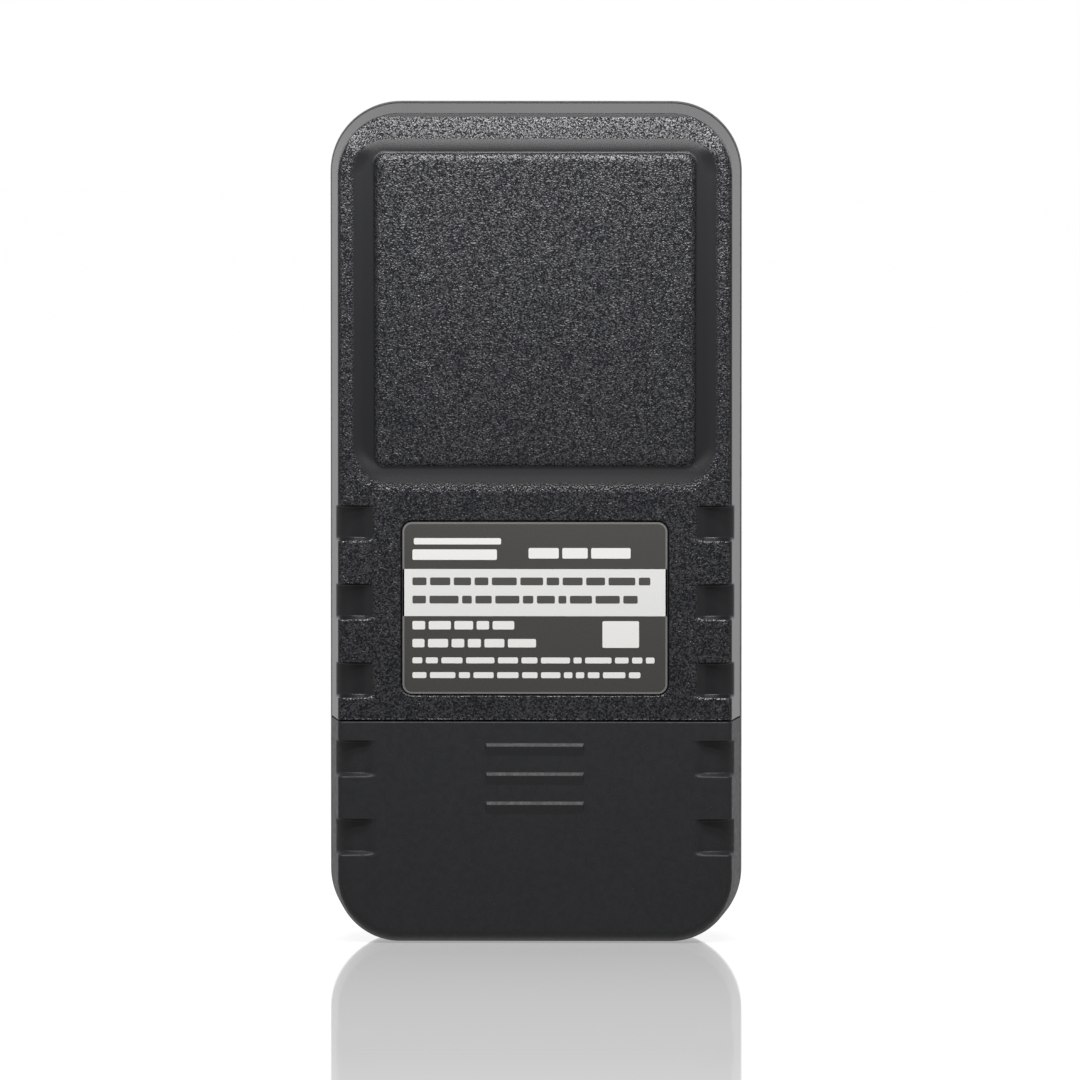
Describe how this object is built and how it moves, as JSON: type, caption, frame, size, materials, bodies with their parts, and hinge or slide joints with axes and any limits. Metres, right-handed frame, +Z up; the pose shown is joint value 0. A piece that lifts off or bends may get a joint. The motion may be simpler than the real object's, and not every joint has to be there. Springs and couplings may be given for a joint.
{
  "type": "speed radar gun",
  "caption": "Flat palm-size speed radar with a raised antenna pad, side grip grooves, slide-off battery door, display and push buttons.",
  "frame": {"origin": "bottom centre of the case, on the plane that its flat bottom end stands on", "axes": "+X across the width, +Y from the back (radar pad, label and battery door) to the front (display and buttons), +Z up along the height"},
  "size_m": [0.0586, 0.0222, 0.1194],
  "materials": {
    "housing": "coarse sparkling spark-erosion texture, with smooth side walls, channel and grooves",
    "door": "fine matte grain",
    "foam": "open-cell foam",
    "fascia": "satin overlay",
    "label": "satin printed film with plain bars",
    "lens": "clear polished",
    "rubber": "matte",
    "plastic": "moulded",
    "lcd": "grey-green reflective display",
    "backlight": "white diffuser",
    "board": "green solder mask",
    "chip": "moulded epoxy",
    "steel": "tinned",
    "capacitor": "shrink sleeve",
    "antenna": "microwave laminate",
    "brass": "gold flash",
    "red": "satin moulded",
    "plunger": "moulded",
    "key": "matte silicone",
    "cell": "printed foil wrap on a steel can",
    "nickel": "nickel plated spring steel",
    "screw": "zinc plated"
  },
  "bodies": {
    "case": {"front_housing": "housing", "back_housing": "housing", "front_fascia": "fascia", "rating_label": "label", "display_lens": "lens", "lens_gasket": "rubber", "lcd_frame": "plastic", "lcd_panel": "lcd", "lcd_backlight": "backlight", "zebra_connector": "rubber", "main_board": "board", "processor_chip": "chip", "amplifier_chip": "chip", "crystal_can": "steel", "smoothing_capacitor": "capacitor", "antenna_board": "antenna", "antenna_spacer": "foam", "rf_shield_can": "steel", "header_pins": "brass", "header_socket": "plastic", "measure_switch_body": "plastic", "power_switch_body": "plastic", "mode_switch_body": "plastic", "recall_switch_body": "plastic", "battery_upper": "cell", "battery_lower": "cell", "positive_contact": "nickel", "negative_contact": "nickel", "bridge_contact": "nickel", "negative_spring": "nickel", "bridge_spring": "nickel", "label_screw_1": "screw", "label_screw_2": "screw", "door_screw_1": "screw", "door_screw_2": "screw", "board_screw_1": "screw", "board_screw_2": "screw", "board_screw_3": "screw", "board_screw_4": "screw", "antenna_screw_1": "screw", "antenna_screw_2": "screw", "antenna_screw_3": "screw", "antenna_screw_4": "screw"},
    "door": {"battery_door": "door", "door_foam_pad": "foam"},
    "measure_key": {"measure_button": "red", "measure_plunger": "plunger"},
    "power_key": {"power_button": "key", "power_plunger": "plunger"},
    "mode_key": {"mode_button": "key", "mode_plunger": "plunger"},
    "recall_key": {"recall_button": "key", "recall_plunger": "plunger"}
  },
  "joints": [
    {"name": "battery_door_slide", "type": "slide", "parent": "case", "child": "door", "axis": [0, 0, -1], "range_m": [0, 0.036]},
    {"name": "measure_button_press", "type": "slide", "parent": "case", "child": "measure_key", "axis": [0, -1, 0], "range_m": [0, 0.0006], "stiffness_N_per_m": 1500},
    {"name": "power_button_press", "type": "slide", "parent": "case", "child": "power_key", "axis": [0, -1, 0], "range_m": [0, 0.0006], "stiffness_N_per_m": 1200},
    {"name": "mode_button_press", "type": "slide", "parent": "case", "child": "mode_key", "axis": [0, -1, 0], "range_m": [0, 0.0006], "stiffness_N_per_m": 1200},
    {"name": "recall_button_press", "type": "slide", "parent": "case", "child": "recall_key", "axis": [0, -1, 0], "range_m": [0, 0.0006], "stiffness_N_per_m": 1200}
  ]
}
